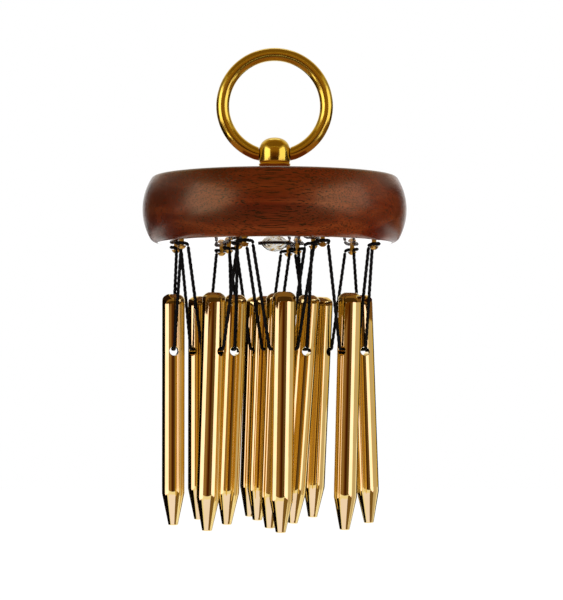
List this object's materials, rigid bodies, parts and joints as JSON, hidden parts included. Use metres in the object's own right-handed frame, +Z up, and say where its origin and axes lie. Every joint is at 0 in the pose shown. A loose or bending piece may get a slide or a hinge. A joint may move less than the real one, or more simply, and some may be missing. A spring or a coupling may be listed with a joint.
{
  "type": "hand bar chime",
  "caption": "Hand-held bar chime: round brass bars with turned tips, laced on black cord under a lacquered wooden disc that hangs from a brass finger ring on a domed post.",
  "frame": {"origin": "top of the finger ring's opening, where a finger or a hook bears", "axes": "+Z up along the hang, +X along the ring's plane, +Y away from the viewer in the picture"},
  "size_m": [0.0946, 0.0946, 0.1708],
  "materials": {
    "ring_brass": "polished, antique gold",
    "bar_brass": "mirror polished",
    "pin_brass": "plain round-head pins",
    "disc_wood": "stained and lacquered",
    "cord": "twisted black nylon cord",
    "fixing_steel": "nickel plated",
    "washer_rubber": "black rubber"
  },
  "bodies": {
    "ring": {"finger_ring": "ring_brass"},
    "disc": {"wood_disc": "disc_wood", "domed_post": "ring_brass", "post_washer": "washer_rubber", "post_screw": "fixing_steel", "hanging_pin_01": "pin_brass", "hanging_pin_02": "pin_brass", "hanging_pin_03": "pin_brass", "hanging_pin_04": "pin_brass", "hanging_pin_05": "pin_brass", "hanging_pin_06": "pin_brass", "hanging_pin_07": "pin_brass", "hanging_pin_08": "pin_brass", "hanging_pin_09": "pin_brass", "hanging_pin_10": "pin_brass", "hanging_pin_11": "pin_brass", "hanging_pin_12": "pin_brass", "cord_turn_01": "cord", "cord_turn_02": "cord", "cord_turn_03": "cord", "cord_turn_04": "cord", "cord_turn_05": "cord", "cord_turn_06": "cord", "cord_turn_07": "cord", "cord_turn_08": "cord", "cord_turn_09": "cord", "cord_turn_10": "cord", "cord_turn_11": "cord", "cord_turn_12": "cord"},
    "sling_01": {"cord_sling_01": "cord"},
    "bar_01": {"chime_bar_01": "bar_brass"},
    "sling_02": {"cord_sling_02": "cord"},
    "bar_02": {"chime_bar_02": "bar_brass"},
    "sling_03": {"cord_sling_03": "cord"},
    "bar_03": {"chime_bar_03": "bar_brass"},
    "sling_04": {"cord_sling_04": "cord"},
    "bar_04": {"chime_bar_04": "bar_brass"},
    "sling_05": {"cord_sling_05": "cord"},
    "bar_05": {"chime_bar_05": "bar_brass"},
    "sling_06": {"cord_sling_06": "cord"},
    "bar_06": {"chime_bar_06": "bar_brass"},
    "sling_07": {"cord_sling_07": "cord"},
    "bar_07": {"chime_bar_07": "bar_brass"},
    "sling_08": {"cord_sling_08": "cord"},
    "bar_08": {"chime_bar_08": "bar_brass"},
    "sling_09": {"cord_sling_09": "cord"},
    "bar_09": {"chime_bar_09": "bar_brass"},
    "sling_10": {"cord_sling_10": "cord"},
    "bar_10": {"chime_bar_10": "bar_brass"},
    "sling_11": {"cord_sling_11": "cord"},
    "bar_11": {"chime_bar_11": "bar_brass"},
    "sling_12": {"cord_sling_12": "cord"},
    "bar_12": {"chime_bar_12": "bar_brass"}
  },
  "joints": [
    {"name": "ring_hinge", "type": "hinge", "parent": "ring", "child": "disc", "pos_m": [0, 0, -0.0332], "axis": [1, 0, 0], "range_deg": [-95, 95]},
    {"name": "swing_01", "type": "hinge", "parent": "disc", "child": "sling_01", "pos_m": [0.00305, -0.03488, -0.0677], "axis": [-0.9962, -0.0872, 0], "range_deg": [-4, 35]},
    {"name": "rock_01", "type": "hinge", "parent": "sling_01", "child": "bar_01", "pos_m": [0.00305, -0.03488, -0.1036], "axis": [-0.9962, -0.0872, 0], "range_deg": [-6, 25]},
    {"name": "swing_02", "type": "hinge", "parent": "disc", "child": "sling_02", "pos_m": [0.02572, -0.02357, -0.0677], "axis": [-0.6756, -0.7373, 0], "range_deg": [-4, 35]},
    {"name": "rock_02", "type": "hinge", "parent": "sling_02", "child": "bar_02", "pos_m": [0.02572, -0.02357, -0.1036], "axis": [-0.6756, -0.7373, 0], "range_deg": [-6, 25]},
    {"name": "swing_03", "type": "hinge", "parent": "disc", "child": "sling_03", "pos_m": [0.03187, 0.00533, -0.0677], "axis": [0.165, -0.9863, 0], "range_deg": [-4, 35]},
    {"name": "rock_03", "type": "hinge", "parent": "sling_03", "child": "bar_03", "pos_m": [0.03187, 0.00533, -0.1036], "axis": [0.165, -0.9863, 0], "range_deg": [-6, 25]},
    {"name": "swing_04", "type": "hinge", "parent": "disc", "child": "sling_04", "pos_m": [0.01697, 0.03062, -0.0677], "axis": [0.8746, -0.4848, 0], "range_deg": [-4, 35]},
    {"name": "rock_04", "type": "hinge", "parent": "sling_04", "child": "bar_04", "pos_m": [0.01697, 0.03062, -0.1036], "axis": [0.8746, -0.4848, 0], "range_deg": [-6, 25]},
    {"name": "swing_05", "type": "hinge", "parent": "disc", "child": "sling_05", "pos_m": [-0.00733, 0.03447, -0.0677], "axis": [0.9781, 0.2079, 0], "range_deg": [-4, 35]},
    {"name": "rock_05", "type": "hinge", "parent": "sling_05", "child": "bar_05", "pos_m": [-0.00733, 0.03447, -0.1036], "axis": [0.9781, 0.2079, 0], "range_deg": [-6, 25]},
    {"name": "swing_06", "type": "hinge", "parent": "disc", "child": "sling_06", "pos_m": [-0.02787, 0.02138, -0.0677], "axis": [0.6088, 0.7934, 0], "range_deg": [-4, 35]},
    {"name": "rock_06", "type": "hinge", "parent": "sling_06", "child": "bar_06", "pos_m": [-0.02787, 0.02138, -0.1036], "axis": [0.6088, 0.7934, 0], "range_deg": [-6, 25]},
    {"name": "swing_07", "type": "hinge", "parent": "disc", "child": "sling_07", "pos_m": [-0.03417, -0.00389, -0.0677], "axis": [-0.1132, 0.9936, 0], "range_deg": [-4, 35]},
    {"name": "rock_07", "type": "hinge", "parent": "sling_07", "child": "bar_07", "pos_m": [-0.03603, -0.00411, -0.10355], "axis": [-0.1132, 0.9936, 0], "range_deg": [-6, 25]},
    {"name": "swing_08", "type": "hinge", "parent": "disc", "child": "sling_08", "pos_m": [-0.02141, -0.0274, -0.0677], "axis": [-0.788, 0.6157, 0], "range_deg": [-4, 35]},
    {"name": "rock_08", "type": "hinge", "parent": "sling_08", "child": "bar_08", "pos_m": [-0.02141, -0.0274, -0.1036], "axis": [-0.788, 0.6157, 0], "range_deg": [-6, 25]},
    {"name": "swing_09", "type": "hinge", "parent": "disc", "child": "sling_09", "pos_m": [0.00045, -0.01705, -0.0677], "axis": [-0.9997, -0.0262, 0], "range_deg": [-2, 4]},
    {"name": "rock_09", "type": "hinge", "parent": "sling_09", "child": "bar_09", "pos_m": [0.00045, -0.01705, -0.1036], "axis": [-0.9997, -0.0262, 0], "range_deg": [-4.5, 4.5]},
    {"name": "swing_10", "type": "hinge", "parent": "disc", "child": "sling_10", "pos_m": [0.01097, 0.00154, -0.0677], "axis": [0.1392, -0.9903, 0], "range_deg": [-2, 4]},
    {"name": "rock_10", "type": "hinge", "parent": "sling_10", "child": "bar_10", "pos_m": [0.01097, 0.00154, -0.1036], "axis": [0.1392, -0.9903, 0], "range_deg": [-4.5, 4.5]},
    {"name": "swing_11", "type": "hinge", "parent": "disc", "child": "sling_11", "pos_m": [-0.00415, 0.01666, -0.0677], "axis": [0.9703, 0.2419, 0], "range_deg": [-2, 4]},
    {"name": "rock_11", "type": "hinge", "parent": "sling_11", "child": "bar_11", "pos_m": [-0.00415, 0.01666, -0.1036], "axis": [0.9703, 0.2419, 0], "range_deg": [-4.5, 4.5]},
    {"name": "swing_12", "type": "hinge", "parent": "disc", "child": "sling_12", "pos_m": [-0.01467, -0.00193, -0.0677], "axis": [-0.1305, 0.9914, 0], "range_deg": [-2, 4]},
    {"name": "rock_12", "type": "hinge", "parent": "sling_12", "child": "bar_12", "pos_m": [-0.01467, -0.00193, -0.1036], "axis": [-0.1305, 0.9914, 0], "range_deg": [-4.5, 4.5]}
  ]
}
